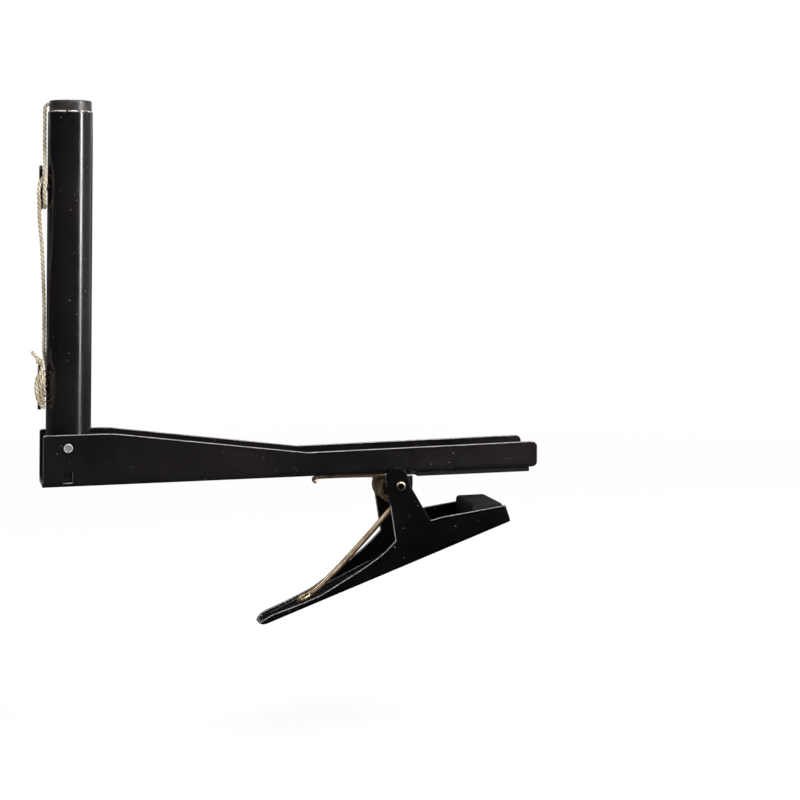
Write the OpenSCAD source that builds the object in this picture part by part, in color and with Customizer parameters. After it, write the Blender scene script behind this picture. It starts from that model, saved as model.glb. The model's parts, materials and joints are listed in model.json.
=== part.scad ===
// Clip-on post for a table tennis net: a channel arm lies on the table top, a spring lever under it
// grips the table's edge, and a tube post at the outer end carries the net's cord.
// Millimetres. Origin: on the table top, at the table's edge, in the middle of the arm's width.
// +X points over the table, +Z up, and the lever stands as it does on a table of thickness table_t.

/* [Arm] */
// Length of the arm outside the table's edge
arm_out = 152.6; // [130:0.2:190]
// Length of the arm over the table
arm_in = 51; // [44:1:70]
// Width of the arm over its walls
arm_w = 20.6; // [20.6:0.2:26]
// Thickness of the arm's and the lever's sheet
sheet = 1.2; // [1:0.1:1.4]
// Outer radius of the bends in the sheet
bend_r = 2.4; // [2:0.1:2.8]
// Height of the walls beside the post
wall_h_post = 20.3; // [18:0.1:26]
// Height of the walls where the taper ends
wall_h_low = 9.9; // [8:0.1:12]
// Height of the walls at the inner end
wall_h_end = 10.9; // [8:0.1:13]
// Length of the full-height stretch of wall
wall_full_len = 25.2; // [22:1:40]
// Distance from the table's edge to where the taper ends
taper_end = 48; // [40:1:60]

/* [Post] */
// Outer diameter of the post
post_d = 17.5; // [15:0.5:18]
// Wall of the post's tube
post_wall = 1.2; // [1:0.1:2]
// Height of the tube's top above the table
post_top = 148.5; // [130:0.5:180]
// Distance from the arm's outer end to the post's axis
post_inset = 10.4; // [10.2:0.1:12]
// Height of the rivet above the arm's underside
rivet_h = 15.2; // [12:0.1:16]
// Diameter of the rivet's shank
rivet_d = 2.8; // [2.4:0.1:3]
// Distance of the rivet and the lugs from the post's axis, towards the arm's outer end
foot_off = 0.9; // [0:0.1:1]
// Step from the tube's surface in to the cap's flange
cap_step = 0.5; // [0.2:0.1:1]
// Height of the cap's flange
cap_h = 4.3; // [4:0.1:8]
// Length of the cap's plug inside the tube
plug_len = 8; // [5:1:15]

/* [Hinge and spring] */
// Distance from the table's edge out to the pivot
pivot_out = 9.4; // [9:0.1:12]
// Distance from the arm's underside down to the pivot
pivot_drop = 5.1; // [5:0.1:6]
// Diameter of the pivot pin
pin_d = 3.6; // [3:0.1:4]
// Diameter of the spring's wire
wire_d = 1.6; // [1.4:0.1:1.8]
// Mean diameter of the spring's coils
coil_d = 11.2; // [9.8:0.1:11.4]
// Whole turns in each of the two coils
coil_turns = 2; // [1:1:2]

/* [Lever and pads] */
// Slope of the lever on the table
lever_tilt = 19.1; // [17:0.1:22]
// Distance from the pivot to the underside of the lever's floor
floor_drop = 32; // [30:0.1:34]
// Length of the handle from the pivot
handle_len = 71.6; // [70:0.2:90]
// Length of the jaw from the pivot
jaw_len = 40; // [38:0.5:44]
// Width of the handle's end
handle_w = 10.5; // [10.5:0.5:16]
// Thickness of the pad under the arm
pad_t = 2; // [1:0.1:3]
// Thickness of the table top that the lever is drawn for
table_t = 12; // [10:0.5:13]

/* [Cord] */
// Diameter of the tension cord
cord_d = 1.5; // [1:0.1:1.5]
// Height of the upper cleat's rivet above the table
upper_cleat_z = 118.2; // [105:0.1:130]
// Height of the lower cleat's rivet above the table
lower_cleat_z = 40; // [36:0.1:60]
// Height of a cleat's bar
cleat_h = 17.4; // [17:0.1:24]

/* [Hidden] */
$fn = 48;
eps = 0.01;
cut = 40;              // reach of a cut that goes right through

// Clearances
press_gap = 0.05;      // round a riveted or pressed shank, radially
run_gap = 0.08;        // round a shank that a piece turns on, radially
side_gap = 0.5;        // between the bracket's and the lever's ears
soft_gap = 0.2;        // round soft or loose pieces

// Arm
arm_bottom = pad_t;                      // height of the arm's underside
arm_floor = arm_bottom + sheet;          // height of the arm's upper face inside
arm_inner_w = arm_w - 2 * sheet;
flat_w = arm_w - 2 * bend_r;             // flat width of the underside
end_r = 2.2;                             // rounding of the arm's inner end
heel_r = 0.8;                            // rounding of the arm's outer top corner
pad_start = -1;                          // first edge of the pad, just outside the table's edge
pad_end_gap = 2.5;                       // pad stops short of the arm's inner end

// Post
post_x = -arm_out + post_inset;
foot_x = post_x - foot_off;
post_foot = arm_floor + 0.8;             // the tube stops over the bends inside the arm
post_r = post_d / 2;
post_bore_r = post_r - post_wall;
rivet_z = arm_bottom + rivet_h;
shoulder_r = 1;                          // rounding of the tube's top edge
lug_w = 3.4;
lug_top = arm_bottom + 6;
lug_foot = arm_bottom + 1.8;
lug_depth = 1.6;                         // how far a lug is pressed in
cap_d = post_d - 2 * cap_step;
cap_edge_r = 0.8;                        // rounding of the cap's top edge
cap_bore_z = post_top + 2.5;             // height of the cord's hole through the cap
cap_bore_gap = 0.3;                      // round the cord in that hole, radially

// Hinge
ear_r = 5.75;                            // half width and end radius of the bracket's ears
web_start = -6.4;                        // the web lies on the table's side of the spring's coils
web_end = pad_start - 0.2;               // and stops short of the pad
pivot_x = -pivot_out;
pivot_z = arm_bottom - pivot_drop;
lever_in_w = arm_w + 2 * side_gap;
lever_w = lever_in_w + 2 * sheet;
head_gap = 0.2;                          // between the pin's heads and the lever
tail_d = 4.4;
tail_t = 0.9;
head_d = 7;
head_t = 1.4;

// Lever, in its own frame: origin at the pivot, x along the floor to the jaw, z up from the floor
lobe_r = 4.5;                            // rounded top of an ear
lobe_x = -0.3;
lobe_z = 3.4;
waist_x = 4.1;                           // front edge of the neck beside the pivot
waist_z = -1.5;
neck_foot_x = 7.5;                       // notch between neck and jaw
neck_foot_h = 13.9;                      // its height over the floor's underside
jaw_mid_x = 12.9;
jaw_mid_h = 13.3;
jaw_end_h = 7.6;
throat_x = -9;                           // corner between neck and handle
throat_h = 11.6;
// Handle's edge: share of the way from the throat to the tip, and height over the jaw's floor line
handle_edge = [[0.08, 9.2], [0.16, 7.4], [0.27, 5.5], [0.36, 4.3], [0.5, 2.4], [0.57, 1.5],
               [0.66, 1.1], [0.78, 0.95], [0.91, 0.95], [0.95, 0.5], [1, -0.7]];
handle_drop = 2.1;                       // how far the handle's end is bent below that line
taper_from = -14;                        // the handle narrows from here ...
taper_to = -63;                          // ... to here
tip_r = 3.5;                             // rounding of the corners at the handle's end

// Jaw pad
jaw_gap_z = -table_t;                    // height of the pad's top while the lever grips
pad_in = 22;                             // pad's ends, measured from the table's edge
pad_out = 35.5;
pad_round = 1.5;

// Spring, in the plane of the lever
coil_r = coil_d / 2;
coil_x = pivot_x - 0.9;                  // the coils hang loosely on the pin
coil_z = arm_bottom - wire_d / 2 - 0.1 - coil_r;
coil_y_out = arm_inner_w / 2 - soft_gap - wire_d / 2;
leg_z = coil_z + coil_r;                 // legs under the arm
// A leg's way from the coil to its end: place along the arm, half the distance between the legs,
// and how far it hangs under its start. The end is bent outwards, past the arm's edge.
leg_route = [[-18, 7.6, 0], [-26, 6.4, 0], [-36, 5.6, 0], [-42.6, 5.6, 0.1], [-44.2, 6.2, 0.3],
             [-44.9, 7.8, 0.6], [-45, 9.4, 0.8], [-45, 10.9, 0.9]];
leave_angle = 100;                       // turn from the coil's top to where the hairpin leaves
// The hairpin's way from the coil to its end: distance along the lever from the pivot, height over
// the floor's underside, and half the distance between its legs
hairpin_route = [[2.1, 25.4, 1.05], [-0.4, 23.4, 1.05], [-5.9, 20.7, 1.05], [-13.3, 16.7, 1.05],
                 [-21.2, 12.7, 1.05], [-29.2, 8.8, 1.05], [-37.4, 5.1, 1.05], [-44.2, 2.3, 1.05],
                 [-47.8, 1.5, 1.15], [-49.5, 1.2, 1.8], [-51, 1.1, 2.1], [-52.2, 1, 1.6],
                 [-52.8, 1, 0.6]];
rings_per_curl = 8;
wire_sides = 6;

// Cleats and cord
cleat_gap = 1.9;                         // from the tube to the bar
cleat_t = 1.2;
cleat_w = 3.6;
cleat_stem_d = 3;
cleat_tail_d = 2;
tube_side_x = post_x - post_r;           // outermost line of the tube
bar_x = tube_side_x - cleat_gap;         // inner face of a cleat's bar
cord_r = cord_d / 2;
cord_sides = 8;
rings_per_loop = 24;
loop_sides = 6;
cord_x = tube_side_x - cleat_gap / 2;    // line of the cord behind the bar

// ---- helpers ----

function unit(v) = v / norm(v);

// Points of an arc in the plane of an outline
function arc(c, r, from, to, steps = 6) =
    [for (i = [0:steps]) let (a = from + (to - from) * i / steps) c + r * [cos(a), sin(a)]];

// Directions along a path, each the mean of the steps beside it
function headings(p) = [for (i = [0:len(p) - 1])
    unit(i == 0 ? p[1] - p[0] :
         i == len(p) - 1 ? p[i] - p[i - 1] :
         unit(p[i + 1] - p[i]) + unit(p[i] - p[i - 1]))];

function squared_to(n, t) = unit(n - (n * t) * t);

// A normal carried along the path without twist
function normals(t, first) =
    [for (i = 0, n = squared_to(first, t[0]); i < len(t);
          i = i + 1, n = i < len(t) ? squared_to(n, t[i]) : n) n];

// Round tube along points, with flat ends square to the path
module swept_tube(p, r, sides, first = [0, 1, 0.01]) {
    t = headings(p);
    n = normals(t, first);
    last = len(p) - 1;
    points = [for (i = [0:last], j = [0:sides - 1])
        let (a = 360 * j / sides)
        p[i] + r * (cos(a) * n[i] + sin(a) * cross(t[i], n[i]))];
    walls = [for (i = [0:last - 1], j = [0:sides - 1])
        let (a = i * sides + j, b = i * sides + (j + 1) % sides)
        each [[a, a + sides, b + sides], [a, b + sides, b]]];
    ends = [for (j = [1:sides - 2])
        each [[0, j, j + 1], [last * sides, last * sides + j + 1, last * sides + j]]];
    polyhedron(points = points, faces = concat(walls, ends), convexity = 10);
}

// Least distance between two stretches of a path that are more than skip steps apart
function least_gap(p, skip) =
    min([for (i = [0:len(p) - 1 - skip], j = [i + skip:len(p) - 1]) norm(p[i] - p[j])]);

// Extrudes an outline drawn in x and z over the width w, centred on y = 0
module across(w) {
    translate([0, w / 2, 0]) rotate([90, 0, 0]) linear_extrude(w) children();
}

// Outline of a trough, drawn with its floor on the x axis: width w, height h, bottom corners r
module trough_outline(w, h, r) {
    translate([-w / 2, r]) square([w, h - r]);
    translate([-w / 2 + r, 0]) square([w - 2 * r, h]);
    for (s = [-1, 1]) translate([s * (w / 2 - r), r]) circle(r = r);
}

module u_outline(w, h, t, r) {
    difference() {
        trough_outline(w, h, r);
        translate([0, t]) trough_outline(w - 2 * t, h, r - t);
    }
}

// Cylinder along y through a point of the xz plane
module y_rod(x, z, r, from, to) {
    translate([x, to, z]) rotate([90, 0, 0]) cylinder(r = r, h = to - from);
}

// Cylinder along x
module x_rod(y, z, r, from, to) {
    translate([from, y, z]) rotate([0, 90, 0]) cylinder(r = r, h = to - from);
}

module lever_frame() {
    translate([pivot_x, 0, pivot_z]) rotate([0, -lever_tilt, 0]) children();
}

// ---- arm ----

module arm_side_outline() {
    top_post = arm_bottom + wall_h_post;
    top_end = arm_bottom + wall_h_end;
    polygon(concat(
        [[-arm_out, arm_bottom]],
        arc([arm_in - end_r, arm_bottom + end_r], end_r, -90, 0),
        arc([arm_in - end_r, top_end - end_r], end_r, 0, 90),
        [[-taper_end, arm_bottom + wall_h_low],
         [-arm_out + wall_full_len + 3, top_post - 0.25],
         [-arm_out + wall_full_len - 2, top_post]],
        arc([-arm_out + heel_r, top_post - heel_r], heel_r, 90, 180, 3)));
}

// Lug lanced out of the front wall and pressed into the notch in the post's foot
module lug() {
    out = arm_w / 2;
    translate([foot_x - lug_w / 2 + 0.1, 0, 0]) rotate([90, 0, 90]) linear_extrude(lug_w - 0.2)
        polygon([[-out, lug_top + eps], [-out + sheet, lug_top + eps],
                 [-out + lug_depth + sheet, lug_foot + 0.6], [-out + lug_depth + 0.1, lug_foot + 0.2]]);
}

module channel_arm() {
    color([0.09, 0.08, 0.09]) {
        difference() {
            intersection() {
                translate([-arm_out, 0, arm_bottom]) rotate([90, 0, 90])
                    linear_extrude(arm_out + arm_in)
                        u_outline(arm_w, wall_h_post, sheet, bend_r);
                across(arm_w) arm_side_outline();
            }
            y_rod(foot_x, rivet_z, rivet_d / 2 + press_gap, -cut, cut);
            for (s = [-1, 1]) translate([foot_x - lug_w / 2, s * arm_w / 2 - bend_r, lug_foot])
                cube([lug_w, 2 * bend_r, lug_top - lug_foot]);
        }
        lug();
        mirror([0, 1, 0]) lug();
    }
}

module arm_pad() {
    color([0.16, 0.15, 0.15])
        translate([pad_start, -flat_w / 2, 0])
            cube([arm_in - pad_end_gap - pad_start, flat_w, pad_t]);
}

// ---- post ----

module post_tube() {
    color([0.07, 0.06, 0.07])
        difference() {
            translate([post_x, 0, 0]) rotate_extrude($fn = 96)
                polygon(concat(
                    [[post_bore_r, post_foot], [post_r, post_foot]],
                    arc([post_r - shoulder_r, post_top - shoulder_r], shoulder_r, 0, 90, 4),
                    [[post_bore_r, post_top]]));
            y_rod(foot_x, rivet_z, rivet_d / 2 + press_gap, -cut, cut);
            // notches for the lugs
            translate([foot_x - lug_w / 2 - soft_gap, -cut, post_foot - 1])
                cube([lug_w + 2 * soft_gap, 2 * cut, lug_top - post_foot + 1 + soft_gap]);
            for (z = [upper_cleat_z, lower_cleat_z])
                x_rod(0, z, cleat_tail_d / 2 + press_gap, post_x - cut, post_x);
        }
}

module post_cap() {
    color([0.2, 0.18, 0.18])
        difference() {
            translate([post_x, 0, 0]) rotate_extrude($fn = 96)
                polygon(concat(
                    [[0, post_top - plug_len], [post_bore_r - soft_gap / 2, post_top - plug_len],
                     [post_bore_r - soft_gap / 2, post_top], [cap_d / 2, post_top]],
                    arc([cap_d / 2 - cap_edge_r, post_top + cap_h - cap_edge_r - 0.3],
                        cap_edge_r, 0, 80, 4),
                    [[cap_d / 4, post_top + cap_h - 0.1], [0, post_top + cap_h]]));
            x_rod(0, cap_bore_z, cord_r + cap_bore_gap, post_x - cut, post_x + cut);
        }
}

module post_rivet() {
    half = arm_w / 2;
    color([0.75, 0.75, 0.76]) {
        y_rod(foot_x, rivet_z, rivet_d / 2, -half - eps, half + eps);
        // set head with a raised rim, towards the front
        translate([foot_x, -half, rivet_z]) rotate([90, 0, 0]) rotate_extrude()
            polygon([[0, 0], [1.75, 0], [1.75, 0.4], [1.6, 0.7], [1.35, 0.7], [1.15, 0.5], [0, 0.5]]);
        // domed head at the back
        translate([foot_x, half, rivet_z]) rotate([-90, 0, 0]) rotate_extrude()
            polygon(concat([[0, 0], [2.9, 0]], arc([0, -2.1], 3.58, 36, 90, 5)));
    }
}

// ---- hinge ----

// Two ears bent down from a web under the arm. The web is cut away over the spring's coils.
module hinge_bracket() {
    ear_top = arm_bottom - 0.1;
    color([0.08, 0.08, 0.08])
        difference() {
            union() {
                difference() {
                    across(arm_w) polygon(concat(
                        [[pivot_x + ear_r, ear_top], [pivot_x - ear_r, ear_top]],
                        arc([pivot_x, pivot_z], ear_r, 180, 360, 16)));
                    across(arm_inner_w) translate([pivot_x - cut, pivot_z - cut]) square(2 * cut);
                    // round bend between ears and web
                    translate([web_start, 0, arm_bottom]) rotate([90, 0, 90]) linear_extrude(cut)
                        difference() {
                            translate([-arm_w, -bend_r]) square([2 * arm_w, cut]);
                            mirror([0, 1]) trough_outline(arm_w, cut, bend_r);
                        }
                }
                translate([web_start, 0, arm_bottom]) rotate([90, 0, 90])
                    linear_extrude(pivot_x + ear_r - web_start)
                        mirror([0, 1]) u_outline(arm_w, 2 * bend_r, sheet, bend_r);
                translate([web_start, -flat_w / 2, arm_bottom - sheet])
                    cube([web_end - web_start, flat_w, sheet]);
            }
            y_rod(pivot_x, pivot_z, pin_d / 2 + press_gap, -cut, cut);
        }
}

module pivot_pin() {
    reach = lever_w / 2 + head_gap;
    color([0.72, 0.6, 0.38])
        difference() {
            union() {
                y_rod(pivot_x, pivot_z, pin_d / 2, -reach - eps, reach + eps);
                // rolled tail, towards the front
                translate([pivot_x, -reach, pivot_z]) rotate([90, 0, 0]) rotate_extrude()
                    polygon(concat([[0, 0], [tail_d / 2, 0]],
                        arc([tail_d / 2 - tail_t, 0], tail_t, 0, 90, 5), [[0, tail_t]]));
                // domed head at the back
                translate([pivot_x, reach, pivot_z]) rotate([-90, 0, 0]) rotate_extrude()
                    polygon([[0, 0], [head_d / 2, 0], [head_d / 2 - 0.3, head_t / 2],
                             [head_d / 4, head_t * 0.93], [0, head_t]]);
            }
            y_rod(pivot_x, pivot_z, pin_d / 4, -reach - 2 * tail_t, -reach + 6);
        }
}

// Place of a point given along the lever and over its floor
function on_lever(q, y) =
    let (h = q[1] - floor_drop)
    [pivot_x + q[0] * cos(lever_tilt) - h * sin(lever_tilt), y,
     pivot_z + q[0] * sin(lever_tilt) + h * cos(lever_tilt)];

// Centre line of one half of the spring, from the leg's tip under the arm to the hairpin's end
coil_sweep = 360 * coil_turns + leave_angle;
coil_y_in = hairpin_route[0][2];
spring_half = concat(
    [for (i = [len(leg_route) - 1:-1:0])
        [leg_route[i][0], -leg_route[i][1], leg_z - leg_route[i][2]]],
    [for (a = [0:360 / rings_per_curl:coil_sweep - 1])
        [coil_x + coil_r * sin(a), -coil_y_out + (coil_y_out - coil_y_in) * a / coil_sweep,
         coil_z + coil_r * cos(a)]],
    [[coil_x + coil_r * sin(coil_sweep), -coil_y_in, coil_z + coil_r * cos(coil_sweep)]],
    [for (q = hairpin_route) on_lever(q, -q[2])]);
spring_path = concat(spring_half,
    [for (i = [len(spring_half) - 1:-1:0])
        [spring_half[i][0], -spring_half[i][1], spring_half[i][2]]]);

module torsion_spring() {
    echo(spring_gap = least_gap(spring_path, 5) - wire_d);
    color([0.74, 0.62, 0.4]) swept_tube(spring_path, wire_d / 2, wire_sides, [0.01, 0, 1]);
}

// ---- lever ----

function over_floor(x, h) = [x, h - floor_drop];

module lever_side_outline() {
    run = handle_len + throat_x;
    polygon(concat(
        [over_floor(-handle_len, -handle_drop - 1), over_floor(jaw_len, -1), over_floor(jaw_len, jaw_end_h),
         over_floor(jaw_mid_x, jaw_mid_h), over_floor(neck_foot_x, neck_foot_h),
         [waist_x, waist_z]],
        arc([lobe_x, lobe_z], lobe_r, -5, 180, 14),
        [over_floor(throat_x, throat_h)],
        [for (e = handle_edge) over_floor(throat_x - run * e[0], e[1])]));
}

// A stretch of the lever's trough, less a margin of m on every side but the top
module lever_stretch(from, to, w, m, drop = 0) {
    translate([from, 0, m - drop - floor_drop]) rotate([90, 0, 90]) linear_extrude(to - from)
        trough_outline(w - 2 * m, floor_drop + lobe_z + lobe_r, bend_r - m, $fn = 32);
}

module lever_block(m) {
    lever_stretch(taper_from, jaw_len + (m > 0 ? 1 : 0), lever_w, m);
    hull() {
        lever_stretch(taper_from, taper_from + 0.5, lever_w, m);
        lever_stretch(taper_to - 0.5, taper_to, handle_w, m, handle_drop);
    }
    hull() {
        lever_stretch(taper_to - 0.5, taper_to, handle_w, m, handle_drop);
        for (s = [-1, 1])
            translate([tip_r - handle_len, s * (handle_w / 2 - tip_r), m - handle_drop - floor_drop])
                rotate_extrude($fn = 32) intersection() {
                    trough_outline(2 * (tip_r - m), floor_drop, bend_r - m);
                    square([tip_r, floor_drop]);
                }
    }
}

module clamp_lever() {
    color([0.08, 0.07, 0.08]) lever_frame()
        difference() {
            intersection() {
                lever_block(0);
                across(lever_w + 2) lever_side_outline();
            }
            lever_block(sheet);
            y_rod(0, 0, pin_d / 2 + run_gap, -cut, cut);
        }
}

module jaw_pad() {
    w = lever_in_w - 2 * press_gap;
    top = jaw_gap_z;
    color([0.14, 0.14, 0.14])
        intersection() {
            across(w) polygon(concat(
                arc([pad_in + pad_round, top - pad_round], pad_round, 180, 90, 4),
                arc([pad_out - pad_round, top - pad_round], pad_round, 90, 0, 4),
                [[pad_out, top - 40], [pad_in, top - 40]]));
            lever_frame() translate([0, 0, -floor_drop + sheet]) rotate([90, 0, 90])
                linear_extrude(jaw_len + 10) trough_outline(w, floor_drop, bend_r - sheet);
        }
}

// ---- cleats and cord ----

module cleat_bar(z) {
    color([0.06, 0.06, 0.06])
        difference() {
            union() {
                translate([bar_x - cleat_t, -cleat_w / 2, z - cleat_h / 2 + cleat_w / 2])
                    cube([cleat_t, cleat_w, cleat_h - cleat_w]);
                for (s = [-1, 1])
                    x_rod(0, z + s * (cleat_h - cleat_w) / 2, cleat_w / 2, bar_x - cleat_t, bar_x);
            }
            x_rod(0, z, cleat_tail_d / 2 + press_gap, bar_x - cut, bar_x + cut);
        }
}

// Shouldered rivet: the thick stem stands between tube and bar, the thin ends go through them
module cleat_rivet(z) {
    inner = post_x - post_bore_r;        // inner wall of the tube
    flat = 0.15;                         // the stem is flat, so it meets the round tube at its middle
    color([0.3, 0.3, 0.31]) {
        x_rod(0, z, cleat_stem_d / 2, bar_x, tube_side_x - flat);
        x_rod(0, z, cleat_tail_d / 2, bar_x - cleat_t - eps, inner + 0.4);
        x_rod(0, z, cleat_stem_d / 2 + 0.3, bar_x - cleat_t - 0.5, bar_x - cleat_t);
        x_rod(0, z, cleat_stem_d / 2, inner + 0.3, inner + 0.9);
    }
}

// Centre line of a cord wound round a cleat's stem, from height z. It starts on the side given, 1 for
// the back and -1 for the front, and goes down first. out, wide and high each hold a value and what a
// loop adds to it: the way out from behind the bar, the half width and the half height. low
// stretches the half under the stem, and corner is small where the loops are nearly square.
function loop_point(k, z, side, out, wide, high, low, corner) =
    let (c = cos(360 * k), s = sin(360 * k))
    [cord_x + c * c * (out[0] + out[1] * k),
     side * (wide[0] + wide[1] * k) * sign(c) * pow(abs(c), corner),
     z - (s > 0 ? low : 1) * (high[0] + high[1] * k) * sign(s) * pow(abs(s), 0.8)];

function winding(loops, z, side, out, wide, high, low, corner) =
    [for (i = [0:loops * rings_per_loop])
        loop_point(i / rings_per_loop, z, side, out, wide, high, low, corner)];

module winding_tube(path) {
    echo(winding_gap = least_gap(path, 8) - cord_d);
    color([0.85, 0.78, 0.62]) swept_tube(path, cord_r, loop_sides, [1, 0.1, 0]);
}

upper_winding = winding(1, upper_cleat_z, -1, [-0.35, -2.1], [4.9, -0.9], [2.5, 2.6], 2.45, 0.5);
lower_winding = winding(2.5, lower_cleat_z, 1, [0.5, -1.45], [3.1, 1.6], [2.4, 1.95], 1.1, 0.3);

module upper_cord_winding() { winding_tube(upper_winding); }
module lower_cord_winding() { winding_tube(lower_winding); }

// A straight lead into the first or out of the last point of a winding
function lead_in(p, length) = p[0] - unit(p[1] - p[0]) * length;
function lead_out(p, length) = p[len(p) - 1] + unit(p[len(p) - 1] - p[len(p) - 2]) * length;

// Point given as an offset from the line behind the bars, a place across it, and a height over z
function by_cleat(q, z) = [cord_x + q[0], q[1], z + q[2]];

// Point of a cord that lies against the tube, at an angle round the post from its outer side
function on_tube(angle, z) =
    let (r = post_r + cord_r + 0.15)
    [post_x - r * cos(angle), r * sin(angle), z];

module run_tube(path) {
    color([0.85, 0.78, 0.62]) swept_tube(path, cord_r, cord_sides);
}

// From inside the cap out of its hole and down the post's outer side to the upper winding
cap_bend_r = 1.6;                        // of the cord's bend at the hole's mouth
cap_bend_in = 0.5;                       // its centre, inside the tube's side
into_upper = [[-0.2, 0, 18], [-0.2, -0.5, 14.5], [-0.25, -1.6, 11.5], [-0.3, -3.2, 8.7],
              [-0.35, -4.4, 6.2], [-0.35, -4.85, 4]];
top_run = concat(
    [[post_x, 0, cap_bore_z], [tube_side_x + cap_bend_in + 0.7, 0, cap_bore_z]],
    [for (q = arc([tube_side_x + cap_bend_in, cap_bore_z - cap_bend_r], cap_bend_r, 105, 180, 4))
        [q[0], 0, q[1]]],
    [for (q = into_upper) by_cleat(q, upper_cleat_z)],
    [lead_in(upper_winding, cord_d), upper_winding[0]]);

module cord_top_run() { run_tube(top_run); }

// From the upper winding down to the tube, along it, and behind the lower winding into its first loop
from_upper = [[-2.4, -4, -6.2], [-2.3, -3.9, -11], [-1.9, -3.6, -15.8], [-1.35, -3.2, -20.7],
              [-0.9, -2.7, -28.2]];
to_tube = [[-0.5, -2.1, 42.5], [-0.15, -1.2, 33], [0.05, -0.4, 25]];
// Each pair is an angle round the post and a height over the cleat
into_lower = [[0, 20], [4, 16.5], [16, 12.5], [27, 9.5], [32, 6.5], [31.5, 3.2]];
middle_run = concat(
    [upper_winding[len(upper_winding) - 1], lead_out(upper_winding, cord_d)],
    [for (q = from_upper) by_cleat(q, upper_cleat_z)],
    [for (q = to_tube) by_cleat(q, lower_cleat_z)],
    [for (q = into_lower) on_tube(q[0], lower_cleat_z + q[1])],
    [lead_in(lower_winding, cord_d), lower_winding[0]]);

module cord_middle_run() { run_tube(middle_run); }

// From the lower winding up past the cleat's tip, through the knot, to the cord's free end
to_knot = [[-3, -7.1, 3.4], [-2.3, -6.8, 5.2], [-1.3, -6, 7], [-0.9, -4.9, 8.6], [-1.1, -3.6, 9.7]];
knot_at = [-1.7, -2.6, 10.4];
knot_r = 1.25;
free_end = [[-2.6, -2.2, 11.6], [-3.8, -2, 13.1]];
end_run = concat(
    [lower_winding[len(lower_winding) - 1], lead_out(lower_winding, cord_d)],
    [for (q = concat(to_knot, [knot_at], free_end)) by_cleat(q, lower_cleat_z)]);

module cord_end_run() { run_tube(end_run); }

module cord_knot() {
    color([0.85, 0.78, 0.62]) translate(by_cleat(knot_at, lower_cleat_z)) sphere(r = knot_r);
}

channel_arm();
arm_pad();
hinge_bracket();
post_tube();
post_cap();
post_rivet();
pivot_pin();
torsion_spring();
clamp_lever();
jaw_pad();
cleat_bar(upper_cleat_z);  // upper_cord_cleat
cleat_bar(lower_cleat_z);  // lower_cord_cleat
cleat_rivet(upper_cleat_z);  // upper_cleat_rivet
cleat_rivet(lower_cleat_z);  // lower_cleat_rivet
cord_top_run();
upper_cord_winding();
cord_middle_run();
lower_cord_winding();
cord_end_run();
cord_knot();
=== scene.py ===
"""Clip-on net post for table tennis: the finish, cord, spring, camera and light round its frame."""
import json
import math
import random

import bpy
import bmesh
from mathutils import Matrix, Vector

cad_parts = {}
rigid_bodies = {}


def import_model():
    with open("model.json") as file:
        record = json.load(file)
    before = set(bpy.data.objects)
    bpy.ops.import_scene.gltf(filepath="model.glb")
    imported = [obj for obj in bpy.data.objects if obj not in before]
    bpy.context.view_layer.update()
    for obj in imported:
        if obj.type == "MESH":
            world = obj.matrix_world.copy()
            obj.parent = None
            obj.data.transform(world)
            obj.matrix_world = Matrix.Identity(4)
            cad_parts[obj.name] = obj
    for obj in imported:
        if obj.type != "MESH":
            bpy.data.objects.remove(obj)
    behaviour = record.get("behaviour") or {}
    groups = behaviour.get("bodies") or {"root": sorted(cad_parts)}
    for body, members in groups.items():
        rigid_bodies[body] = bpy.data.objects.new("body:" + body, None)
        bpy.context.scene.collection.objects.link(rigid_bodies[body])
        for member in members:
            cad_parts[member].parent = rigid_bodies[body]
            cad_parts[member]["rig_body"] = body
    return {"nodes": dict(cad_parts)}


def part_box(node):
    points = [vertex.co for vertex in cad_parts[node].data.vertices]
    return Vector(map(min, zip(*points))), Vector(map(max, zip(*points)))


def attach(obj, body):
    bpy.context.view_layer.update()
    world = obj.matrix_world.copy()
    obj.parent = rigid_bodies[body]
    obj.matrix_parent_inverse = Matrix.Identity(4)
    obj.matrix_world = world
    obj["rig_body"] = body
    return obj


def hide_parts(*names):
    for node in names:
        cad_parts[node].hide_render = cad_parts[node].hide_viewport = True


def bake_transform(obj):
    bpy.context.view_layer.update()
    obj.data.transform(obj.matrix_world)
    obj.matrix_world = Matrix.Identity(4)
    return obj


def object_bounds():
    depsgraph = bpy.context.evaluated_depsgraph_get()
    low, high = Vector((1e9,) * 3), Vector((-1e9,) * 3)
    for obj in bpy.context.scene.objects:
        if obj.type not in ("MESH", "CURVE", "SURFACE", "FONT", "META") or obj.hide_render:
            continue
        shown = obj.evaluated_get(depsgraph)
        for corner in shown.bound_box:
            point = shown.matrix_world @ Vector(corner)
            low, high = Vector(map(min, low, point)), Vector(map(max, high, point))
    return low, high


MM = 0.001
IMAGE = 800                     # the picture's side, in pixels


def mm(*values):
    """A point given in millimetres."""
    return Vector(values) * MM


def link(obj):
    bpy.context.scene.collection.objects.link(obj)
    return obj


for obj in list(bpy.data.objects):
    bpy.data.objects.remove(obj)
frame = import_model()
cad_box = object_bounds()
nodes = frame["nodes"]

# ---- camera ----

CAMERA_AT = mm(-197.37, -646.59, 110.57)
CAMERA_YAW = 16.44              # degrees from +Y towards +X
CAMERA_PITCH = 0.7              # degrees upwards
CAMERA_ROLL = 0.25              # degrees about the line of sight, right side up
FOCAL_PX = 1613.3
AXIS_PX = 188.92                # the picture's row that the line of sight goes through
SENSOR = 36.0                   # millimetres


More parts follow.
